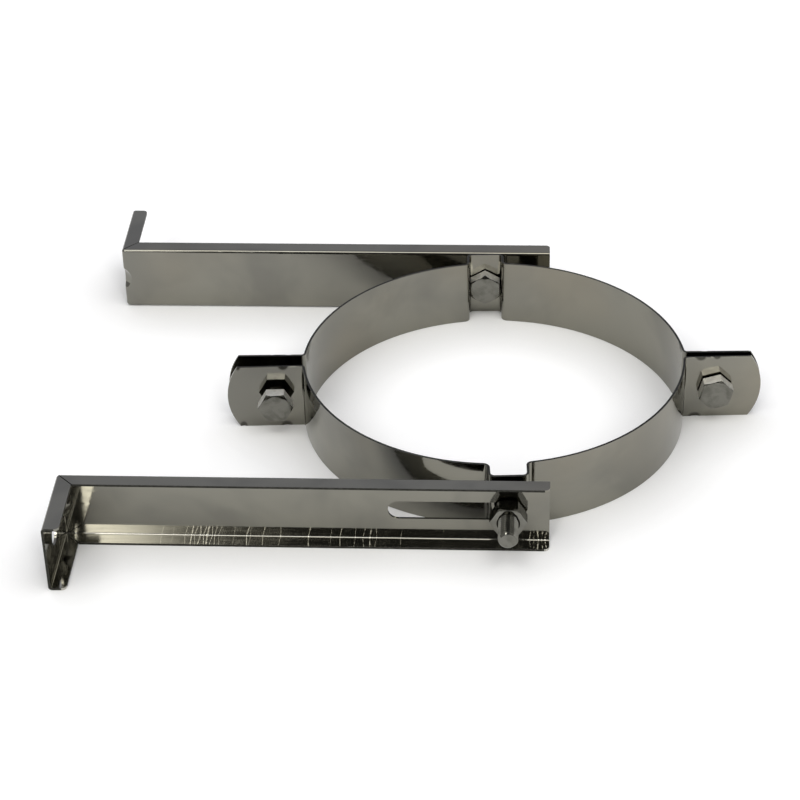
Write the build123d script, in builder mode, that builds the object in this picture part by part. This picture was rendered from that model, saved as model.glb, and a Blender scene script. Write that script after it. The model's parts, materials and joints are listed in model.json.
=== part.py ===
from build123d import *
import os
from math import asin, atan2, cos, degrees, radians, sin, sqrt

# Flue pipe wall bracket: a band in two halves round the pipe, held off the wall by two
# folded channel arms. Origin: on the pipe's axis, level with the band's lower edge.
# +X leads away from the wall, +Z up along the pipe, lengths in millimetres.

# Sheet metal
sheet = 1.0
sheet_height = 30.0
bend_outer = 1.5
middle = sheet_height / 2

# Half band
band_radius = 80.0
ear_setback = 6.9
ear_reach = 113.0
ear_end_radius = 26.0
ear_bolt_x = 93.0
ear_bend = 2.0
seat_offset = 2.6
seat_width = 14.4
seat_depth = 8.0
seat_bend = 1.8
seat_mouth_bends = (3.0, 2.5)

# How the two halves sit: turned a little against the arms, and drawn in past a full circle
front_turn = 3.4
rear_turn = 2.0
drawn_in = 8.7

# Channel arms
wall_distance = 171.0
arm_length = 195.0
foot_length = 36.0
flange_width = 7.0
flange_corner = 2.0
slit_width = 0.4
dart_radius = 7.0
dart_depth = 2.6
dart_edge = 0.8
slot_travel = 44.0
slot_width = 8.5
slot_end_to_arm_end = 15.75
foot_hole_offset = 19.5
front_arm_play = 1.6
rear_arm_play = 0.5

# Two points this near each other count as the same one
same_place = 0.01

# M8 fasteners
thread_radius = 4.0
thread_play = 0.05
clearance_radius = 4.5
hex_flats = 13.0
hex_chamfer = 0.75
head_height = 5.3
nut_height = 6.8
ear_bolt_length = 20.0
arm_bolt_length = 25.0
bolt_tip_chamfer = 0.8
front_head_gap = 2.0
rear_head_gap = 0.6
left_bolt_slack = 3.4
right_bolt_slack = 0.8
right_head_angle = 15.0
nut_face_gap = 0.2
front_nut_gap = 0.9
ear_bolt_sag = 0.4
arm_bolt_sag = 0.2

front_ring = Plane(
    origin=(0, 0, 0),
    x_dir=(cos(radians(front_turn)), sin(radians(front_turn)), 0),
    z_dir=(0, 0, 1),
)
rear_centre = front_ring.from_local_coords((0, -drawn_in, 0))
rear_ring = Plane(
    origin=rear_centre,
    x_dir=(-cos(radians(rear_turn)), -sin(radians(rear_turn)), 0),
    z_dir=(0, 0, 1),
)


def seat_point(ring, depth):
    """Centre of a half band's seat, at a distance inside or outside its inner face."""
    return ring.from_local_coords((seat_offset, -(band_radius + seat_depth + depth), middle))


def web_distance(ring, turn, play):
    """How far from the X axis an arm's web clears the turned seat behind it."""
    flat_half_width = seat_width / 2
    seat_face = abs(seat_point(ring, sheet).Y)
    return seat_face + flat_half_width * sin(radians(turn)) + play


front_web = web_distance(front_ring, front_turn, front_arm_play)
rear_web = web_distance(rear_ring, rear_turn, rear_arm_play)
front_bolt_x = seat_point(front_ring, 0).X
rear_bolt_x = seat_point(rear_ring, 0).X


def finish(piece, name):
    """Name a piece and write it to its own file."""
    piece.label = name
    export_step(piece, f"parts/{name}.step")


def corner_at(outline, place):
    """The outline's corner at a place in its own plane."""
    return outline.vertices().filter_by(
        lambda v: abs(v.X - place[0]) < same_place and abs(v.Y - place[1]) < same_place
    )


def clamp_half(name, ring):
    """Half band: one strip rolled to the pipe, folded out into two ears and a bolt seat."""
    root_x = sqrt(band_radius**2 - ear_setback**2)
    root_angle = degrees(asin(ear_setback / band_radius))
    seat_y = -(band_radius + seat_depth)
    mouths = []
    for side in (-1, 1):
        mouth_x = seat_offset + side * seat_width / 2
        mouths.append((mouth_x, -sqrt(band_radius**2 - mouth_x**2)))
    left_mouth, right_mouth = mouths
    left_angle = degrees(atan2(left_mouth[1], left_mouth[0])) + 360
    right_angle = degrees(atan2(right_mouth[1], right_mouth[0])) + 360
    left_start = 180 + root_angle
    right_end = 360 - root_angle
    with BuildPart() as half:
        with BuildSketch(ring):
            with BuildLine() as inner_face:
                Line((-ear_reach, -ear_setback), (-root_x, -ear_setback))
                CenterArc((0, 0), band_radius, left_start, left_angle - left_start)
                Polyline(
                    left_mouth,
                    (left_mouth[0], seat_y),
                    (right_mouth[0], seat_y),
                    right_mouth,
                )
                CenterArc((0, 0), band_radius, right_angle, right_end - right_angle)
                Line((root_x, -ear_setback), (ear_reach, -ear_setback))
                for side in (-1, 1):
                    fillet(corner_at(inner_face, (side * root_x, -ear_setback)), ear_bend)
                for mouth, bend in zip(mouths, seat_mouth_bends):
                    fillet(corner_at(inner_face, mouth), bend)
                    fillet(corner_at(inner_face, (mouth[0], seat_y)), seat_bend)
                offset(amount=sheet, side=Side.RIGHT)
            make_face()
        extrude(amount=sheet_height)
        front_view = Plane(origin=ring.origin, x_dir=ring.x_dir, z_dir=-ring.y_dir)
        end_sagitta = ear_end_radius - sqrt(ear_end_radius**2 - middle**2)
        shoulder = ear_reach - end_sagitta
        with BuildSketch(front_view):
            with BuildLine():
                Line((-shoulder, sheet_height), (shoulder, sheet_height))
                ThreePointArc((shoulder, sheet_height), (ear_reach, middle), (shoulder, 0))
                Line((shoulder, 0), (-shoulder, 0))
                ThreePointArc((-shoulder, 0), (-ear_reach, middle), (-shoulder, sheet_height))
            make_face()
            with Locations((-ear_bolt_x, middle), (seat_offset, middle), (ear_bolt_x, middle)):
                Circle(clearance_radius, mode=Mode.SUBTRACT)
        extrude(amount=2 * band_radius, both=True, mode=Mode.INTERSECT)
    finish(half.part, name)


def on_web_side(edge, frame):
    """True for the long edges and the arcs that join the web to the two flanges."""
    place = frame.to_local_coords(edge.center())
    at_fold_level = min(place.Z, sheet_height - place.Z) < same_place
    return at_fold_level and min(place.X, place.Y) < bend_outer


def stands_at(edge, frame, corner):
    """True for an upright edge at a plan position of the arm."""
    place = frame.to_local_coords(edge.center())
    return abs(place.X - corner[0]) < same_place and abs(place.Y - corner[1]) < same_place


def dart_rod(plane, radius):
    """Round rod across the arm's corner, with the dart's shape."""
    with BuildPart() as rod:
        with BuildSketch(plane):
            Circle(radius)
        extrude(amount=2 * radius, both=True)
    return rod.part


def channel_arm(name, frame):
    """Arm: a channel folded into an L, with mitred flanges and a pressed dart in the corner."""
    corner_middle = frame.from_local_coords((0, 0, middle))
    dart_offset = (dart_depth - dart_radius) / sqrt(2)
    dart_axis = frame.from_local_coords((dart_offset, dart_offset, middle))
    dart_plane = Plane(origin=dart_axis, z_dir=frame.x_dir - frame.y_dir)
    slot_x = arm_length - slot_end_to_arm_end - slot_travel / 2
    slot_middle = frame.from_local_coords((slot_x, 0, middle))
    slot_plane = Plane(origin=slot_middle, x_dir=frame.x_dir, z_dir=frame.y_dir)
    hole_middle = frame.from_local_coords((0, foot_hole_offset, middle))
    hole_plane = Plane(origin=hole_middle, z_dir=frame.x_dir)
    with BuildPart() as arm:
        # Folded channel: the outside of the L, rounded at its folds and shelled to the sheet
        with BuildSketch(frame):
            Rectangle(arm_length, flange_width, align=(Align.MIN, Align.MIN))
            Rectangle(flange_width, foot_length, align=(Align.MIN, Align.MIN))
        extrude(amount=sheet_height)
        fillet(arm.edges().filter_by(Axis.Z).sort_by_distance(corner_middle)[0], bend_outer)
        fillet(arm.edges().filter_by(lambda e: on_web_side(e, frame)), bend_outer)
        dart_back = dart_rod(dart_plane, dart_radius + sheet) & arm.part
        open_sides = arm.faces().filter_by(
            lambda f: f.normal_at().dot(frame.x_dir) > 0.9 or f.normal_at().dot(frame.y_dir) > 0.9
        )
        offset(amount=-sheet, openings=open_sides)

        # Dart pressed into the corner from outside
        add(dart_back)
        add(dart_rod(dart_plane, dart_radius), mode=Mode.SUBTRACT)
        deepest = frame.from_local_coords((dart_depth / sqrt(2), dart_depth / sqrt(2), middle))
        pressed = arm.faces().sort_by_distance(deepest)[0]
        fillet(pressed.edges(), dart_edge)

        # Mitre slits where the two flanges meet, above and below
        slit_reach = sqrt(2) * flange_width
        for level, into in ((0, 1), (sheet_height, -1)):
            with BuildSketch(frame.offset(level)):
                with Locations(Location((sheet, sheet, 0), (0, 0, 45))):
                    Rectangle(slit_reach, slit_width, align=(Align.MIN, Align.CENTER))
            extrude(amount=into * (sheet + slit_width), mode=Mode.SUBTRACT)

        with BuildSketch(slot_plane):
            SlotCenterToCenter(slot_travel, slot_width)
        extrude(amount=2 * sheet, both=True, mode=Mode.SUBTRACT)
        with BuildSketch(hole_plane):
            Circle(clearance_radius)
        extrude(amount=2 * sheet, both=True, mode=Mode.SUBTRACT)

        # Rounded free corners of the flanges, at the arm's end and the foot's tip
        for corner in ((arm_length, flange_width), (flange_width, foot_length)):
            free_corner = arm.edges().filter_by(Axis.Z).filter_by(lambda e: stands_at(e, frame, corner))
            fillet(free_corner, flange_corner)
    finish(arm.part, name)


def hexagon_block(seat, height, angle, chamfered_levels):
    """Hexagon block standing on a plane, its corners turned off at the named levels."""
    flat_face = hex_flats / sqrt(3) - hex_chamfer * sqrt(3)
    cut_radius = flat_face + 2 * hex_chamfer * sqrt(3)
    with BuildPart() as block:
        with BuildSketch(seat):
            RegularPolygon(hex_flats / 2, 6, major_radius=False, rotation=angle)
        extrude(amount=height)
        with BuildSketch(Plane(origin=seat.origin, x_dir=seat.x_dir, z_dir=-seat.y_dir)):
            for level in chamfered_levels:
                cut_level = level - 2 * hex_chamfer if level > 0 else 2 * hex_chamfer
                with BuildLine():
                    Polyline((flat_face, level), (cut_radius, cut_level), (cut_radius, level), close=True)
                make_face()
        revolve(axis=Axis(seat.origin, seat.z_dir), mode=Mode.SUBTRACT)
    return block.part


def hex_bolt(name, seat, length, angle=0):
    """Bolt with its head standing on the seat plane and its shank behind it."""
    head = hexagon_block(seat, head_height, angle, (head_height,))
    with BuildPart() as bolt:
        add(head)
        with BuildSketch(seat):
            Circle(thread_radius)
        extrude(amount=-length)
        tip = bolt.faces().sort_by(Axis(seat.origin, seat.z_dir))[0]
        chamfer(tip.edges(), bolt_tip_chamfer)
    finish(bolt.part, name)


def hex_nut(name, seat, angle=0):
    """Nut standing on the seat plane, with its threaded hole left plain."""
    body = hexagon_block(seat, nut_height, angle, (0, nut_height))
    with BuildPart() as nut:
        add(body)
        with BuildSketch(seat):
            Circle(thread_radius + thread_play)
        extrude(amount=nut_height, mode=Mode.SUBTRACT)
    finish(nut.part, name)


os.makedirs("parts", exist_ok=True)

clamp_half("front_clamp_half", front_ring)
clamp_half("rear_clamp_half", rear_ring)

front_arm_frame = Plane(
    origin=(-wall_distance, -front_web, sheet_height), x_dir=(1, 0, 0), z_dir=(0, 0, -1)
)
rear_arm_frame = Plane(origin=(-wall_distance, rear_web, 0), x_dir=(1, 0, 0), z_dir=(0, 0, 1))
channel_arm("front_arm", front_arm_frame)
channel_arm("rear_arm", rear_arm_frame)

# Arm bolts: the head is held from turning in the seat's recess, and the nut is behind the web.
# No bolt is done up, so each hangs low in its holes.
front_seat_y = seat_point(front_ring, 0).Y
rear_seat_y = seat_point(rear_ring, 0).Y
arm_bolt_level = middle - arm_bolt_sag
ear_bolt_level = middle - ear_bolt_sag
front_head = Plane(
    origin=(front_bolt_x, front_seat_y + front_head_gap, arm_bolt_level),
    x_dir=(1, 0, 0),
    z_dir=(0, 1, 0),
)
rear_head = Plane(
    origin=(rear_bolt_x, rear_seat_y - rear_head_gap, arm_bolt_level),
    x_dir=(1, 0, 0),
    z_dir=(0, -1, 0),
)
hex_bolt("front_arm_bolt", front_head, arm_bolt_length, angle=30)
hex_bolt("rear_arm_bolt", rear_head, arm_bolt_length, angle=30)
front_nut_y = -(front_web + sheet + front_nut_gap)
front_nut_seat = Plane(
    origin=(front_bolt_x, front_nut_y, arm_bolt_level), x_dir=(1, 0, 0), z_dir=(0, -1, 0)
)
rear_nut_seat = Plane(
    origin=(rear_bolt_x, rear_web + sheet, arm_bolt_level), x_dir=(1, 0, 0), z_dir=(0, 1, 0)
)
hex_nut("front_arm_nut", front_nut_seat)
hex_nut("rear_arm_nut", rear_nut_seat)

# Ear bolts: heads towards the front, nuts behind the rear half's ears
skew = radians(front_turn - rear_turn)
front_ear_face = -(ear_setback + sheet)
rear_ear_face = ear_setback + sheet - drawn_in
for side, slack, angle, where in (
    (-1, left_bolt_slack, 0, "left"),
    (1, right_bolt_slack, right_head_angle, "right"),
):
    bolt_x = side * ear_bolt_x
    head_origin = front_ring.from_local_coords((bolt_x, front_ear_face - slack, ear_bolt_level))
    nut_y = rear_ear_face - bolt_x * sin(skew) + nut_face_gap
    nut_origin = front_ring.from_local_coords((bolt_x, nut_y, ear_bolt_level))
    head_seat = Plane(origin=head_origin, x_dir=front_ring.x_dir, z_dir=-front_ring.y_dir)
    nut_seat = Plane(origin=nut_origin, x_dir=front_ring.x_dir, z_dir=front_ring.y_dir)
    hex_bolt(f"{where}_ear_bolt", head_seat, ear_bolt_length, angle)
    hex_nut(f"{where}_ear_nut", nut_seat)
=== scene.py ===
import json
import math

import bmesh
import bpy
from mathutils import Matrix, Vector


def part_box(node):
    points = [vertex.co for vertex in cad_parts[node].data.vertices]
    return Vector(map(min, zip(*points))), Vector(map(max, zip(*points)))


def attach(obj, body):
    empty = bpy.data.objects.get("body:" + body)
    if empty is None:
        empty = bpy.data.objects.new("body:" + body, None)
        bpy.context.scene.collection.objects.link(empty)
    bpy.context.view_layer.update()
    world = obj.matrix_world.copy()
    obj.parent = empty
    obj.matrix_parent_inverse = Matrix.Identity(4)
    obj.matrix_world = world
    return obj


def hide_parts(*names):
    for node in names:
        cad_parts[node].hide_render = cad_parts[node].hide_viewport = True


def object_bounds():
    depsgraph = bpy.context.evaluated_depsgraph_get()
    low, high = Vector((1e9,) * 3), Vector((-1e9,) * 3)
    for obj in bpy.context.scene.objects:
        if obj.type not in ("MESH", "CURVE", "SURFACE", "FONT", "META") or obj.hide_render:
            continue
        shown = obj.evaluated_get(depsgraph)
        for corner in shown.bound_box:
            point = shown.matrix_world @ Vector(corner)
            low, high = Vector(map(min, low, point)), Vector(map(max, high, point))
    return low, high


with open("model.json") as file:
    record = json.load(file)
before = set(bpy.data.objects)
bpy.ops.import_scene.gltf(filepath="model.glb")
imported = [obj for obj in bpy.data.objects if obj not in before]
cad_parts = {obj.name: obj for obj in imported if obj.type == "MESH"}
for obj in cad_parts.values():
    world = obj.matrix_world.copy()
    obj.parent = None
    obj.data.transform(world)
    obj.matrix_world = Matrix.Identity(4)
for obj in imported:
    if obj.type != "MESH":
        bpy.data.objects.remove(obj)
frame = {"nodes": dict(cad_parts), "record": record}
cad_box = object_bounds()
nodes = frame["nodes"]
MM = 0.001

# ---------------------------------------------------------------- camera
FOCAL_PX = 2347.5
PHOTO_PX = 800
SENSOR = 36.0
PITCH = math.radians(34.537)
YAW = math.radians(-3.835)
ROLL = math.radians(-1.525)
AIM = Vector((-40.547, 6.64, 0.0)) * MM
DISTANCE = 1018.5 * MM


def place_camera():
    """Camera at the photograph's angle, looking down at the bracket from its front."""
    forward = Vector(
        (math.sin(YAW) * math.cos(PITCH), math.cos(YAW) * math.cos(PITCH), -math.sin(PITCH))
    )
    level = Vector((math.cos(YAW), -math.sin(YAW), 0.0))
    up = level.cross(forward)
    right = level * math.cos(ROLL) + up * math.sin(ROLL)
    top = up * math.cos(ROLL) - level * math.sin(ROLL)
    data = bpy.data.cameras.new("camera")
    data.sensor_width = SENSOR
    data.lens = FOCAL_PX * SENSOR / PHOTO_PX
    data.clip_start = 0.05
    data.clip_end = 30.0
    camera = bpy.data.objects.new("camera", data)
    turn = Matrix((right, top, -forward)).transposed().to_4x4()
    turn.translation = AIM - forward * DISTANCE
    camera.matrix_world = turn
    bpy.context.scene.collection.objects.link(camera)
    bpy.context.scene.camera = camera


place_camera()


# ---------------------------------------------------------------- node helpers
class Nodes:
    """Short calls for building a material's node tree."""

    def __init__(self, tree):
        self.tree = tree

    def add(self, kind, **values):
        node = self.tree.nodes.new(kind)
        for name, value in values.items():
            setattr(node, name, value)
        return node

    def feed(self, socket, value):
        if isinstance(value, bpy.types.NodeSocket):
            self.tree.links.new(value, socket)
        elif value is not None:
            socket.default_value = value

    def math(self, operation, a, b=None, c=None):
        node = self.add("ShaderNodeMath", operation=operation)
        for socket, value in zip(node.inputs, (a, b, c)):
            self.feed(socket, value)
        return node.outputs[0]

    def vector(self, operation, a, b=None):
        node = self.add("ShaderNodeVectorMath", operation=operation)
        self.feed(node.inputs[0], a)
        self.feed(node.inputs[1], b)
        return node.outputs[0]

    def position(self):
        return self.add("ShaderNodeTexCoord").outputs["Object"]

    def mapped(self, vector, scale, location=(0, 0, 0), rotation=(0, 0, 0)):
        node = self.add("ShaderNodeMapping")
        self.feed(node.inputs["Vector"], vector)
        node.inputs["Location"].default_value = location
        node.inputs["Rotation"].default_value = rotation
        node.inputs["Scale"].default_value = scale
        return node.outputs[0]

    def noise(self, vector, scale, detail=3.0, roughness=0.5, distortion=0.0):
        node = self.add("ShaderNodeTexNoise")
        self.feed(node.inputs["Vector"], vector)
        node.inputs["Scale"].default_value = scale
        node.inputs["Detail"].default_value = detail
        node.inputs["Roughness"].default_value = roughness
        node.inputs["Distortion"].default_value = distortion
        return node.outputs["Fac"]

    def remap(self, value, low, high, to_low=0.0, to_high=1.0, smooth=True):
        node = self.add("ShaderNodeMapRange")
        if smooth:
            node.interpolation_type = "SMOOTHSTEP"
        self.feed(node.inputs["Value"], value)
        for name, number in (
            ("From Min", low), ("From Max", high), ("To Min", to_low), ("To Max", to_high)
        ):
            self.feed(node.inputs[name], number)
        return node.outputs[0]

    def mix(self, factor, a, b):
        node = self.add("ShaderNodeMix", data_type="RGBA")
        self.feed(node.inputs["Factor"], factor)
        self.feed(node.inputs[6], a)
        self.feed(node.inputs[7], b)
        return node.outputs[2]

    def bump(self, height, strength, distance, normal=None):
        node = self.add("ShaderNodeBump")
        node.inputs["Strength"].default_value = strength
        node.inputs["Distance"].default_value = distance
        self.feed(node.inputs["Height"], height)
        self.feed(node.inputs["Normal"], normal)
        return node.outputs[0]


def new_material(name):
    """A material with an empty tree, its Principled shader and its node helper."""
    material = bpy.data.materials.new(name)
    material.use_nodes = True
    tree = material.node_tree
    tree.nodes.clear()
    n = Nodes(tree)
    shader = n.add("ShaderNodeBsdfPrincipled")
    output = n.add("ShaderNodeOutputMaterial")
    tree.links.new(shader.outputs[0], output.inputs["Surface"])
    return material, n, shader


def rgb(r, g, b):
    return (r, g, b, 1.0)


# ---------------------------------------------------------------- metals
SHEET_TONE = rgb(0.25, 0.244, 0.209)
# Random darker patches: partly the sheet's own uneven tone, partly painted reflection mottling.
SHEET_MOTTLE_PAINTED = rgb(0.198, 0.194, 0.17)
SHEET_WARM = rgb(0.265, 0.246, 0.196)
# Painted highlight: lighter tone laid over the front arm's lower flange.
FLANGE_PAINTED_SHEEN = rgb(0.5, 0.485, 0.44)
# Near-black sheared edges: partly the dull shear, partly painted shade for the dark line these thin faces
# show.
CUT_EDGE_PAINTED_DARK = rgb(0.03, 0.03, 0.026)
CUT_LIGHT = rgb(0.06, 0.059, 0.052)
# Painted shade inside the press-mark dents.
MARK_PAINTED_SHADE = rgb(0.06, 0.058, 0.05)
BRIGHT_CUT = rgb(0.85, 0.83, 0.78)


def sheet_metal(name, grain, extra=None):
    """Bright rolled stainless: mirror-like, with slow waves, fine rolling grain and light scuffs."""
    material, n, shader = new_material(name)
    place = n.position()
    cloud = n.noise(n.mapped(place, (1, 1, 1)), 24.0, 3.0, 0.55, 0.5)
    streak = n.noise(n.mapped(place, grain), 1.0, 3.0, 0.6)
    # Darker patches mixed in at random: partly uneven tone, partly painted reflection mottling.
    tone = n.mix(n.remap(cloud, 0.38, 0.66), SHEET_TONE, SHEET_MOTTLE_PAINTED)
    tone = n.mix(n.remap(n.noise(place, 13.0, 2.0), 0.5, 0.75, 0.0, 0.7), tone, SHEET_WARM)
    rough = n.remap(streak, 0.3, 0.75, 0.05, 0.12)
    smear = n.remap(n.noise(place, 55.0, 4.0, 0.6, 1.2), 0.52, 0.75, 0.0, 0.1)
    rough = n.math("ADD", rough, smear)
    waves = n.noise(n.mapped(place, (1, 1, 1.5)), 16.0, 1.0, 0.3)
    normal = n.bump(waves, 0.25, 0.0008)
    normal = n.bump(streak, 0.06, 0.00004, normal)
    if extra is not None:
        tone, rough, normal = extra(n, place, tone, rough, normal)
    n.feed(shader.inputs["Base Color"], tone)
    n.feed(shader.inputs["Roughness"], rough)
    n.feed(shader.inputs["Normal"], normal)
    shader.inputs["Metallic"].default_value = 1.0
    return material


# Scrapes across the front arm's lower flange: place along X, lean, width and strength
SCRAPES = (
    (-131.0, 0.05, 0.16, 0.5), (-126.5, -0.08, 0.1, 0.3), (-121.5, 0.1, 0.12, 0.4),
    (-119.0, 0.02, 0.28, 0.9), (-117.6, 0.14, 0.14, 0.6), (-115.6, -0.06, 0.4, 0.55),
    (-114.0, 0.1, 0.2, 0.7), (-112.6, 0.03, 0.45, 0.7), (-111.0, -0.1, 0.16, 0.6),
    (-109.6, 0.06, 0.2, 0.5), (-108.0, 0.12, 0.1, 0.4), (-102.0, -0.05, 0.08, 0.25),
    (-96.6, 0.1, 0.2, 0.9), (-95.4, -0.04, 0.08, 0.3), (-90.2, 0.06, 0.12, 0.4),
    (-83.5, -0.07, 0.1, 0.3), (-71.9, 0.09, 0.22, 0.85), (-63.0, 0.0, 0.1, 0.35),
    (-59.1, 0.08, 0.12, 0.45), (-53.1, -0.05, 0.14, 0.5), (-49.8, 0.1, 0.1, 0.4),
    (-47.2, 0.07, 0.2, 0.7), (-44.9, -0.08, 0.1, 0.35), (-35.0, 0.03, 0.08, 0.25),
    (-18.0, -0.06, 0.08, 0.2), (11.6, 0.05, 0.12, 0.4), (13.4, -0.08, 0.1, 0.35),
    (16.4, 0.1, 0.16, 0.6), (17.9, 0.02, 0.1, 0.4), (19.6, -0.09, 0.2, 0.8),
    (21.2, 0.06, 0.14, 0.6), (22.6, 0.12, 0.2, 0.75),
)
FLANGE_MIDDLE = -94.2
FLANGE_START = -164.0


def scraped(n, place, tone, rough, normal):
    """Bright scrapes across the inside of the lower flange, and a painted highlight over that flange, fainter
    at its foot end.
    """
    axes = n.add("ShaderNodeSeparateXYZ")
    n.feed(axes.inputs[0], place)
    x, y, z = axes.outputs
    wander = n.math("MULTIPLY", n.math("SUBTRACT", n.noise(place, 60.0, 1.0), 0.5), 0.8 * MM)
    across = n.math("SUBTRACT", y, FLANGE_MIDDLE * MM)
    along = n.math("ADD", x, wander)
    total = None
    for where, lean, width, strength in SCRAPES:
        line = n.math("MULTIPLY_ADD", across, lean, along)
        away = n.math("ABSOLUTE", n.math("SUBTRACT", line, where * MM))
        one = n.remap(away, width * 0.4 * MM, width * 1.1 * MM, strength, 0.0)
        total = one if total is None else n.math("MAXIMUM", total, one)
    low = n.remap(z, 0.0011, 0.00145, 1.0, 0.0)
    broken = n.remap(n.noise(n.mapped(place, (500, 700, 300)), 1.0, 2.0), 0.38, 0.62, 0.25, 1.0)
    mask = n.math("MULTIPLY", n.math("MULTIPLY", total, low), broken)
    # Painted highlight over the whole lower flange, fading out towards the foot end.
    flange_sheen_mask = n.math("MULTIPLY", low, n.remap(x, (FLANGE_START - 9) * MM, (FLANGE_START + 1) * MM, 0.3, 1.0))
    tone = n.mix(flange_sheen_mask, tone, FLANGE_PAINTED_SHEEN)
    tone = n.mix(mask, tone, BRIGHT_CUT)
    rough = n.math("ADD", rough, n.math("MULTIPLY", mask, 0.35))
    normal = n.bump(mask, 0.4, 0.00008, normal)
    return tone, rough, normal


def fastener_metal(name, light, dark, rough_low, rough_high):
    """Cold-formed stainless of the bolts and nuts, with its tool marks."""
    material, n, shader = new_material(name)
    place = n.position()
    cloud = n.noise(place, 170.0, 4.0, 0.6, 0.5)
    fine = n.noise(place, 1500.0, 3.0, 0.6)
    tone = n.mix(n.remap(cloud, 0.4, 0.68), light, dark)
    rough = n.remap(cloud, 0.3, 0.7, rough_low, rough_high)
    normal = n.bump(cloud, 0.1, 0.0002)
    normal = n.bump(fine, 0.12, 0.00003, normal)
    n.feed(shader.inputs["Base Color"], tone)
    n.feed(shader.inputs["Roughness"], rough)
    n.feed(shader.inputs["Normal"], normal)
    shader.inputs["Metallic"].default_value = 1.0
    return material


def cut_metal(name):
    """Sheared edges of the sheet: dull and a little torn across the thickness, their near-black tone partly
    the dull shear and partly painted shade.
    """
    material, n, shader = new_material(name)
    place = n.position()
    torn = n.noise(place, 900.0, 4.0, 0.6)
    n.feed(shader.inputs["Base Color"], n.mix(n.remap(torn, 0.4, 0.7), CUT_EDGE_PAINTED_DARK, CUT_LIGHT))
    n.feed(shader.inputs["Roughness"], n.remap(torn, 0.3, 0.7, 0.3, 0.45))
    n.feed(shader.inputs["Normal"], n.bump(torn, 0.3, 0.00004))
    shader.inputs["Metallic"].default_value = 1.0
    return material


plain_arm = sheet_metal("bright_sheet_arm", (60, 900, 900))
scraped_arm = sheet_metal("bright_sheet_scraped", (60, 900, 900), scraped)
along_band = sheet_metal("bright_sheet_band", (250, 250, 1400))
cut_edge = cut_metal("sheared_edge")
steel = fastener_metal(
    "stainless_fastener", rgb(0.185, 0.182, 0.16), rgb(0.125, 0.123, 0.106), 0.08, 0.17
)
# Near-white painted highlight for the bolt heads' sides and the nuts' rounded corners.
painted_highlight_steel = fastener_metal(
    "stainless_painted_highlight_side", rgb(0.95, 0.94, 0.9), rgb(0.75, 0.74, 0.7), 0.48, 0.6
)
# Darker painted shade for the nuts' flat sides.
painted_shade_steel = fastener_metal(
    "stainless_painted_shade_side", rgb(0.13, 0.13, 0.118), rgb(0.09, 0.09, 0.08), 0.12, 0.2
)


# ---------------------------------------------------------------- pieces
def new_piece(name, mesh, materials, body, node):
    """A shown piece that stands for one CAD node and rides on its body."""
    piece = bpy.data.objects.new(name, mesh)
    bpy.context.scene.collection.objects.link(piece)
    for place, material in enumerate(materials):
        if place < len(mesh.materials):
            mesh.materials[place] = material
        else:
            mesh.materials.append(material)
    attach(piece, body)
    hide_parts(node)
    return piece


def body_of(node):
    for body, members in frame["record"]["behaviour"]["bodies"].items():
        if node in members:
            return body


def smooth_with_edges(mesh, degrees):
    """Smooth shading that keeps edges sharper than an angle."""
    for face in mesh.polygons:
        face.use_smooth = True
    mesh.set_sharp_from_angle(angle=math.radians(degrees))


def even_normals(piece):
    """Let the large faces carry the shading, so that narrow edge faces do not bend it."""
    weigh = piece.modifiers.new("normals", "WEIGHTED_NORMAL")
    weigh.keep_sharp = True
    weigh.weight = 100
    graph = bpy.context.evaluated_depsgraph_get()
    shaped = bpy.data.meshes.new_from_object(
        piece.evaluated_get(graph), preserve_all_data_layers=True, depsgraph=graph
    )
    piece.modifiers.clear()
    piece.data = shaped


# Small pressed marks on the ears and bands: x along the half and z up, in its own frame,
# then half width and half height, in millimetres
PRESS_MARKS = (
    (-88.9, 30.3, 2.5, 2.3), (-107.9, 30.6, 1.3, 2.2), (-88.5, 0.2, 2.7, 2.3),
    (-107.0, 0.3, 1.8, 2.4), (87.1, 30.3, 2.5, 2.1), (93.9, 30.6, 1.8, 1.9), (85.7, 0.2, 2.9, 1.9),
)
MARK_DEPTH = 0.35
EAR_FACE = -7.9
EDGE_SOFTENING = 0.12
CUT_WIDTH = 1.3


def half_frame(node):
    """Placement of a half band: its own x along the ears, y away from its seat, z up."""
    low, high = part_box(node)
    turn, centre = HALF_PLACES[node]
    return Matrix.Translation(Vector(centre) * MM) @ Matrix.Rotation(math.radians(turn), 4, "Z")


HALF_PLACES = {
    "front_clamp_half": (3.4, (0.0, 0.0, 0.0)),
    "rear_clamp_half": (182.0, (0.516, -8.685, 0.0)),
}


def sheet_mesh(node):
    """The node's own shape, welded, its flat faces made whole and its sheared edges softened."""
    mesh = nodes[node].data.copy()
    mesh.name = node + "_shown"
    mesh.materials.clear()
    bm = bmesh.new()
    bm.from_mesh(mesh)
    bmesh.ops.remove_doubles(bm, verts=bm.verts, dist=0.002 * MM)
    bmesh.ops.dissolve_limit(
        bm, angle_limit=math.radians(0.5), verts=bm.verts, edges=bm.edges, use_dissolve_boundaries=False
    )
    sheared = [
        e for e in bm.edges
        if len(e.link_faces) == 2 and e.calc_face_angle(0.0) > math.radians(60)
    ]
    hard = set(sheared)
    for face in bm.faces:
        rim = sum(e.calc_length() for e in face.edges)
        cut = sum(e.calc_length() for e in face.edges if e in hard)
        narrow = 2 * face.calc_area() / rim < CUT_WIDTH * MM
        face.material_index = 1 if narrow and cut > 0.8 * rim else 0
    bmesh.ops.bevel(
        bm, geom=sheared, offset=EDGE_SOFTENING * MM, offset_type="OFFSET", segments=2,
        profile=0.5, affect="EDGES", clamp_overlap=True, harden_normals=False
    )
    bm.to_mesh(mesh)
    bm.free()
    return mesh


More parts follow.
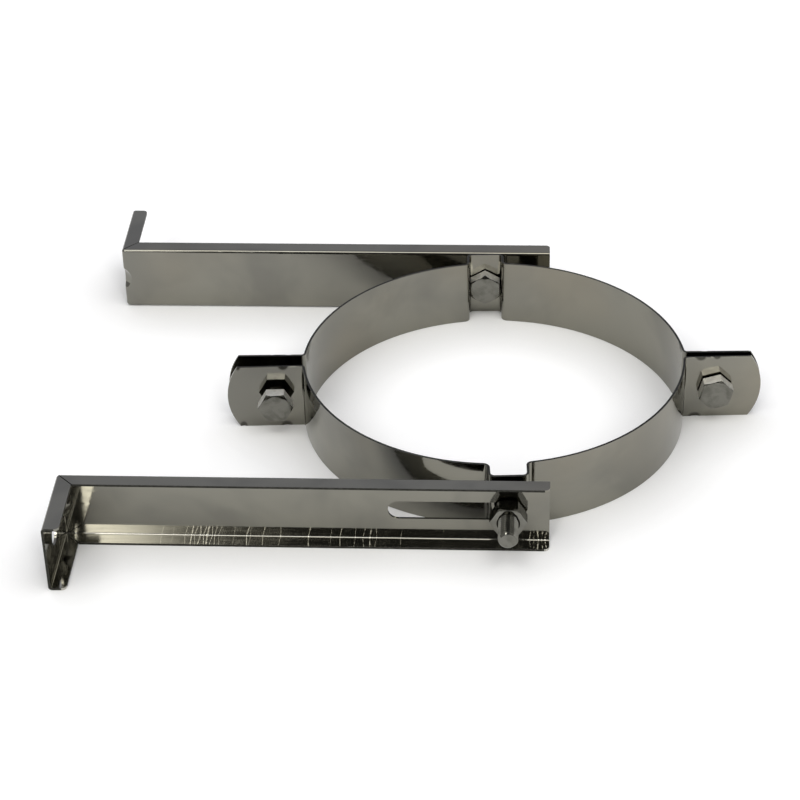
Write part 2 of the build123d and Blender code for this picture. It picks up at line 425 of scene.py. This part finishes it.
def press_marks(piece, node):
    """Cut the shallow half-moon marks that the folding tool left on a half band's ears."""
    place = half_frame(node)
    bm = bmesh.new()
    for x, z, half_width, half_height in PRESS_MARKS:
        thick = 1.2
        made = bmesh.ops.create_uvsphere(bm, u_segments=24, v_segments=14, radius=1.0)
        centre = Vector((x, EAR_FACE - thick + MARK_DEPTH, z)) * MM
        size = Matrix.Diagonal(Vector((half_width, thick, half_height, 1.0 / MM))) * MM
        size[3][3] = 1.0
        bmesh.ops.transform(bm, matrix=place @ Matrix.Translation(centre) @ size, verts=made["verts"])
    mesh = bpy.data.meshes.new("press_marks")
    bm.to_mesh(mesh)
    bm.free()
    tool = bpy.data.objects.new("press_marks", mesh)
    bpy.context.scene.collection.objects.link(tool)
    cut = piece.modifiers.new("marks", "BOOLEAN")
    cut.operation = "DIFFERENCE"
    cut.solver = "EXACT"
    cut.object = tool
    graph = bpy.context.evaluated_depsgraph_get()
    shaped = bpy.data.meshes.new_from_object(piece.evaluated_get(graph))
    piece.modifiers.clear()
    piece.data = shaped
    bpy.data.objects.remove(tool)


def marked(n, place, tone, rough, normal):
    """Painted shade: a dark tone inside the press marks, laid round their own places."""
    total = None
    for node in HALF_PLACES:
        frame_of_half = half_frame(node)
        for x, z, half_width, half_height in PRESS_MARKS:
            centre = frame_of_half @ (Vector((x, EAR_FACE, z)) * MM)
            apart = n.add("ShaderNodeVectorMath", operation="SUBTRACT")
            n.feed(apart.inputs[0], place)
            apart.inputs[1].default_value = centre
            scaled = n.add("ShaderNodeVectorMath", operation="MULTIPLY")
            n.feed(scaled.inputs[0], apart.outputs[0])
            scaled.inputs[1].default_value = (
                1 / (half_width * MM), 1 / (0.9 * MM), 1 / (half_height * MM)
            )
            length = n.add("ShaderNodeVectorMath", operation="LENGTH")
            n.feed(length.inputs[0], scaled.outputs[0])
            one = n.remap(length.outputs["Value"], 0.6, 1.15, 0.85, 0.0)
            total = one if total is None else n.math("MAXIMUM", total, one)
    # Painted shade darkens the inside of each press mark; the metal there is rougher too.
    tone = n.mix(total, tone, MARK_PAINTED_SHADE)
    rough = n.math("ADD", rough, n.math("MULTIPLY", total, 0.3))
    return tone, rough, normal


marked_band = sheet_metal("bright_sheet_band_marked", (250, 250, 1400), marked)

for node, material in (
    ("front_arm", scraped_arm), ("rear_arm", plain_arm),
    ("front_clamp_half", marked_band), ("rear_clamp_half", marked_band),
):
    piece = new_piece(
        node + "_sheet", sheet_mesh(node), (material, cut_edge), body_of(node), node
    )
    if node in HALF_PLACES:
        press_marks(piece, node)
    smooth_with_edges(piece.data, 30)
    even_normals(piece)


# ---------------------------------------------------------------- bolts and nuts
AROUND = 96
HEX_FLATS = 13.0
HEAD_HEIGHT = 5.3
NUT_HEIGHT = 6.8
CHAMFER_START = 6.15
CHAMFER_SLOPE = math.tan(math.radians(30))
THREAD_RADIUS = 4.0
THREAD_PITCH = 1.25
THREAD_ROOT = 3.25
NUT_HOLE = 4.05
COUNTERSINK = 4.65
CORNER_SOFTENING = 0.22


def hex_radius(angle, turn):
    """Distance from the axis to a hexagon's side at an angle."""
    sector = math.radians(60)
    off = (angle - turn + sector / 2) % sector - sector / 2
    return HEX_FLATS / 2 / math.cos(off)


def ring_of(bm, radius_and_height):
    """One ring of vertices round the axis, from a rule that gives radius and height."""
    ring = []
    for step in range(AROUND):
        angle = 2 * math.pi * step / AROUND
        radius, height = radius_and_height(angle)
        ring.append(bm.verts.new((radius * math.cos(angle), radius * math.sin(angle), height)))
    return ring


def skin(bm, rings, closed=False):
    """Quads between neighbouring rings."""
    pairs = list(zip(rings, rings[1:]))
    if closed:
        pairs.append((rings[-1], rings[0]))
    for lower, upper in pairs:
        for step in range(AROUND):
            after = (step + 1) % AROUND
            bm.faces.new((lower[step], lower[after], upper[after], upper[step]))


def soften_corners(bm):
    """Round the hexagon's upright corners and the chamfers' rims a little."""
    corners = [e for e in bm.edges if len(e.link_faces) == 2 and e.calc_face_angle(0.0) > math.radians(24)]
    bmesh.ops.bevel(
        bm, geom=corners, offset=CORNER_SOFTENING, offset_type="OFFSET", segments=3,
        profile=0.5, affect="EDGES", clamp_overlap=True, harden_normals=False
    )


def paint_sides(bm, turn, flat, corner):
    """Material numbers of the six upright sides and of the narrow roundings between them."""
    bm.normal_update()
    for face in bm.faces:
        middle = face.calc_center_median()
        if abs(face.normal.z) > 0.4 or math.hypot(middle.x, middle.y) < 5.5:
            continue
        off = math.degrees(math.atan2(face.normal.y, face.normal.x) - turn) % 60.0
        face.material_index = flat if min(off, 60.0 - off) < 4.0 else corner


def head_shape(turn):
    """Hexagon head from 0 to its height, its top corners turned off, with a slightly dished face."""
    bm = bmesh.new()
    top = HEAD_HEIGHT

    def side(angle):
        radius = hex_radius(angle, turn)
        return radius, top - (radius - CHAMFER_START) * CHAMFER_SLOPE

    rings = [
        ring_of(bm, lambda a: (hex_radius(a, turn) - 0.25, 0.0)),
        ring_of(bm, lambda a: (hex_radius(a, turn), 0.2)),
        ring_of(bm, side),
        ring_of(bm, lambda a: (CHAMFER_START, top)),
        ring_of(bm, lambda a: (4.9, top - 0.02)),
        ring_of(bm, lambda a: (4.3, top - 0.12)),
    ]
    skin(bm, rings)
    bm.faces.new(rings[-1])
    bm.faces.new(list(reversed(rings[0])))
    soften_corners(bm)
    # All six head sides take the painted-highlight metal.
    paint_sides(bm, turn, 1, 1)
    return bm


def nut_shape(turn):
    """Hexagon nut from 0 to its height, chamfered at both ends, its hole countersunk."""
    bm = bmesh.new()

    def low_side(angle):
        radius = hex_radius(angle, turn)
        return radius, (radius - CHAMFER_START) * CHAMFER_SLOPE

    def high_side(angle):
        radius = hex_radius(angle, turn)
        return radius, NUT_HEIGHT - (radius - CHAMFER_START) * CHAMFER_SLOPE

    depth = (COUNTERSINK - NUT_HOLE) * 0.75
    rings = [
        ring_of(bm, lambda a: (CHAMFER_START, 0.0)),
        ring_of(bm, low_side),
        ring_of(bm, high_side),
        ring_of(bm, lambda a: (CHAMFER_START, NUT_HEIGHT)),
        ring_of(bm, lambda a: (COUNTERSINK, NUT_HEIGHT)),
        ring_of(bm, lambda a: (NUT_HOLE, NUT_HEIGHT - depth)),
        ring_of(bm, lambda a: (NUT_HOLE, depth)),
        ring_of(bm, lambda a: (COUNTERSINK, 0.0)),
    ]
    skin(bm, rings, closed=True)
    soften_corners(bm)
    # Nut flats take the painted-shade metal; its rounded corners take the painted-highlight metal.
    paint_sides(bm, turn, 2, 1)
    return bm


def thread_radius(share):
    """Thread profile: radius at a share of one pitch, flat at root and crest."""
    crest, flank = 0.14, 0.32
    place = share % 1.0
    if place < crest:
        lift = 1.0
    elif place < crest + flank:
        lift = 1.0 - (place - crest) / flank
    elif place < 1.0 - flank:
        lift = 0.0
    else:
        lift = (place - 1.0 + flank) / flank
    return THREAD_ROOT + (THREAD_RADIUS - THREAD_ROOT) * lift


def shank_shape(length):
    """Threaded shank from just inside the head down to its turned tip, as one helical skin."""
    bm = bmesh.new()
    knots = (0.0, 0.14, 0.46, 0.68)
    turns = int(length / THREAD_PITCH) + 3
    top, bottom = 0.3, -length
    blunt = THREAD_ROOT - 0.15

    def vertex(height, share):
        radius = thread_radius(share)
        if height > top or height < bottom:
            return blunt, min(max(height, bottom), top)
        tip = blunt + (height - bottom) * 1.1
        under_head = blunt + (top - height) * 1.6
        return min(radius, tip, under_head), height

    columns = []
    for step in range(AROUND + 1):
        angle = 2 * math.pi * step / AROUND
        column = []
        for turn in range(turns):
            for knot in knots:
                height = 2 * THREAD_PITCH - (turn + knot) * THREAD_PITCH + THREAD_PITCH * step / AROUND
                radius, height = vertex(height, knot)
                place = (radius * math.cos(angle), radius * math.sin(angle), height)
                column.append(bm.verts.new(place))
        columns.append(column)
    for here, there in zip(columns, columns[1:]):
        for k in range(len(here) - 1):
            bm.faces.new((here[k], here[k + 1], there[k + 1], there[k]))
    bmesh.ops.remove_doubles(bm, verts=bm.verts, dist=0.0005)
    bmesh.ops.dissolve_degenerate(bm, edges=bm.edges, dist=0.0005)
    bmesh.ops.holes_fill(bm, edges=[e for e in bm.edges if e.is_boundary], sides=0)
    bmesh.ops.recalc_face_normals(bm, faces=bm.faces)
    return bm


def join_shapes(name, shapes, place):
    """Several closed shapes as one mesh, moved from millimetres at the axis into the row's frame."""
    mesh = bpy.data.meshes.new(name)
    whole = bmesh.new()
    for shape in shapes:
        part = bpy.data.meshes.new("part")
        shape.to_mesh(part)
        shape.free()
        whole.from_mesh(part)
        bpy.data.meshes.remove(part)
    bmesh.ops.recalc_face_normals(whole, faces=whole.faces)
    bmesh.ops.transform(whole, matrix=place @ Matrix.Scale(MM, 4), verts=whole.verts)
    whole.to_mesh(mesh)
    whole.free()
    smooth_with_edges(mesh, 32)
    return mesh


def axis_place(origin, along, across):
    """Frame at a point with z along a bolt's axis and x along a given direction."""
    z = Vector(along).normalized()
    x = Vector(across)
    x = (x - z * x.dot(z)).normalized()
    y = z.cross(x)
    place = Matrix((x, y, z)).transposed().to_4x4()
    place.translation = Vector(origin)
    return place


def middle_of(node):
    low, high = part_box(node)
    return (low + high) / 2


SLANT = math.radians(3.4)
FRONT_ALONG = (math.sin(SLANT), -math.cos(SLANT), 0.0)
REAR_ALONG = (-math.sin(SLANT), math.cos(SLANT), 0.0)
ACROSS = (math.cos(SLANT), math.sin(SLANT), 0.0)


def bolt(node, along, across, length, turn):
    """Detailed bolt in place of a node: head at the along end of the node's box."""
    centre = middle_of(node)
    z = Vector(along).normalized()
    total = (length + HEAD_HEIGHT) * MM
    seat = centre + z * (total / 2 - HEAD_HEIGHT * MM)
    place = axis_place(seat, along, across)
    mesh = join_shapes(node + "_shown", [head_shape(turn), shank_shape(length)], place)
    metals = (steel, painted_highlight_steel, painted_shade_steel)
    even_normals(new_piece(node + "_threaded", mesh, metals, body_of(node), node))


def nut(node, along, across, turn):
    centre = middle_of(node)
    z = Vector(along).normalized()
    place = axis_place(centre - z * (NUT_HEIGHT * MM / 2), along, across)
    mesh = join_shapes(node + "_shown", [nut_shape(turn)], place)
    metals = (steel, painted_highlight_steel, painted_shade_steel)
    even_normals(new_piece(node + "_countersunk", mesh, metals, body_of(node), node))


ON_FLAT, ON_CORNER = math.radians(90), math.radians(0)
bolt("front_arm_bolt", (0, 1, 0), (1, 0, 0), 25.0, ON_CORNER)
bolt("rear_arm_bolt", (0, -1, 0), (1, 0, 0), 25.0, ON_CORNER)
bolt("left_ear_bolt", FRONT_ALONG, ACROSS, 20.0, ON_FLAT)
bolt("right_ear_bolt", FRONT_ALONG, ACROSS, 20.0, ON_FLAT + math.radians(15))
nut("front_arm_nut", (0, -1, 0), (1, 0, 0), ON_FLAT)
nut("rear_arm_nut", (0, 1, 0), (1, 0, 0), ON_FLAT)
nut("left_ear_nut", REAR_ALONG, ACROSS, ON_FLAT)
nut("right_ear_nut", REAR_ALONG, ACROSS, ON_FLAT)


# ---------------------------------------------------------------- floor, world and lamps
FLOOR_GLOW = 0.3
# Reach of the ambient occlusion that paints shadow into the floor's glow: close for direct view, wide for
# reflections.
CONTACT_SHADOW_PAINT_REACH = 35.0
REFLECTED_SHADOW_PAINT_REACH = 200.0


def make_floor():
    """Plain pale floor that reads white behind the part and keeps its soft shadow, its glow darkened near the
    part by ambient occlusion: painted contact shadow seen directly, deeper painted shade in the metal's
    reflections.
    """
    mesh = bpy.data.meshes.new("floor")
    half = 4.0
    mesh.from_pydata(
        [(-half, -half, 0), (half, -half, 0), (half, half, 0), (-half, half, 0)], [], [(0, 1, 2, 3)]
    )
    floor = bpy.data.objects.new("floor", mesh)
    floor.location.z = cad_box[0][2] - 0.0001
    bpy.context.scene.collection.objects.link(floor)
    material = bpy.data.materials.new("pale_floor")
    material.use_nodes = True
    tree = material.node_tree
    tree.nodes.clear()
    n = Nodes(tree)
    diffuse = n.add("ShaderNodeBsdfDiffuse")
    diffuse.inputs["Color"].default_value = rgb(0.8, 0.8, 0.8)
    glow = n.add("ShaderNodeEmission")
    glow.inputs["Color"].default_value = rgb(1, 1, 1)
    path = n.add("ShaderNodeLightPath")
    seen = n.math("MAXIMUM", path.outputs["Is Camera Ray"], path.outputs["Is Transmission Ray"])
    close = n.add("ShaderNodeAmbientOcclusion", samples=8)
    close.inputs["Distance"].default_value = CONTACT_SHADOW_PAINT_REACH * MM
    wide = n.add("ShaderNodeAmbientOcclusion", samples=8)
    wide.inputs["Distance"].default_value = REFLECTED_SHADOW_PAINT_REACH * MM
    # Painted shadow: the glow fades with ambient occlusion, gently for direct view and more widely for
    # mirrored rays.
    direct = n.math("MULTIPLY", seen, n.math("POWER", close.outputs["AO"], 3.0))
    mirrored = n.math("MULTIPLY", path.outputs["Is Glossy Ray"], n.math("POWER", wide.outputs["AO"], 2.2))
    n.feed(glow.inputs["Strength"], n.math("MULTIPLY", n.math("MAXIMUM", direct, mirrored), FLOOR_GLOW))
    both = n.add("ShaderNodeAddShader")
    tree.links.new(diffuse.outputs[0], both.inputs[0])
    tree.links.new(glow.outputs[0], both.inputs[1])
    output = n.add("ShaderNodeOutputMaterial")
    tree.links.new(both.outputs[0], output.inputs["Surface"])
    mesh.materials.append(material)


# Soft light by direction, in degrees: bearing from the front (-Y), right side positive
BACK_WALL = 0.5
FRONT_WALL = 0.4
WINDOW = 7.0
CEILING = 3.8
UNLIT_MIDDLE = 0.05
COOL_BACK = rgb(0.98, 1.0, 1.12)


def make_world():
    """A studio all round: pale walls, bright windows left and right of the front, a ceiling light."""
    world = bpy.data.worlds.new("studio")
    bpy.context.scene.world = world
    world.use_nodes = True
    tree = world.node_tree
    tree.nodes.clear()
    n = Nodes(tree)
    axes = n.add("ShaderNodeSeparateXYZ")
    n.feed(axes.inputs[0], n.add("ShaderNodeTexCoord").outputs["Generated"])
    x, y, z = axes.outputs
    height = n.math("MULTIPLY", n.math("ARCSINE", z), 180 / math.pi)
    bearing = n.math("MULTIPLY", n.math("ARCTAN2", x, n.math("MULTIPLY", y, -1.0)), 180 / math.pi)
    side = n.math("ABSOLUTE", bearing)

    def band(value, low, high, soft):
        return n.math(
            "MULTIPLY",
            n.remap(value, low - soft, low + soft),
            n.remap(value, high - soft, high + soft, 1.0, 0.0),
        )

    front = n.remap(side, 80.0, 110.0, 1.0, 0.0)
    wall = n.remap(front, 0.0, 1.0, BACK_WALL, FRONT_WALL, smooth=False)
    middle = n.math("MULTIPLY", band(bearing, -9.0, 15.0, 2.0), n.remap(height, 42.0, 50.0, 1.0, 0.0))
    wall = n.math("ADD", n.math("MULTIPLY", wall, n.math("SUBTRACT", 1.0, middle)),
                  n.math("MULTIPLY", middle, UNLIT_MIDDLE))
    pair = n.math("ADD", band(bearing, -27.0, -11.8, 1.6), band(bearing, 18.5, 30.0, 1.6))
    windows = n.math("MULTIPLY", pair, band(height, 20.0, 46.0, 4.0))
    ceiling = n.math("MULTIPLY", band(height, 58.0, 74.0, 4.0), n.remap(side, 60.0, 110.0, 1.0, 0.0))
    total = n.math("ADD", wall, n.math("MULTIPLY", windows, WINDOW))
    total = n.math("ADD", total, n.math("MULTIPLY", ceiling, CEILING))
    glow = n.add("ShaderNodeBackground")
    n.feed(glow.inputs["Color"], n.mix(front, COOL_BACK, rgb(1.0, 0.99, 0.96)))
    n.feed(glow.inputs["Strength"], total)
    output = n.add("ShaderNodeOutputWorld")
    tree.links.new(glow.outputs[0], output.inputs["Surface"])


make_floor()
make_world()

bpy.context.scene.view_settings.view_transform = "Standard"
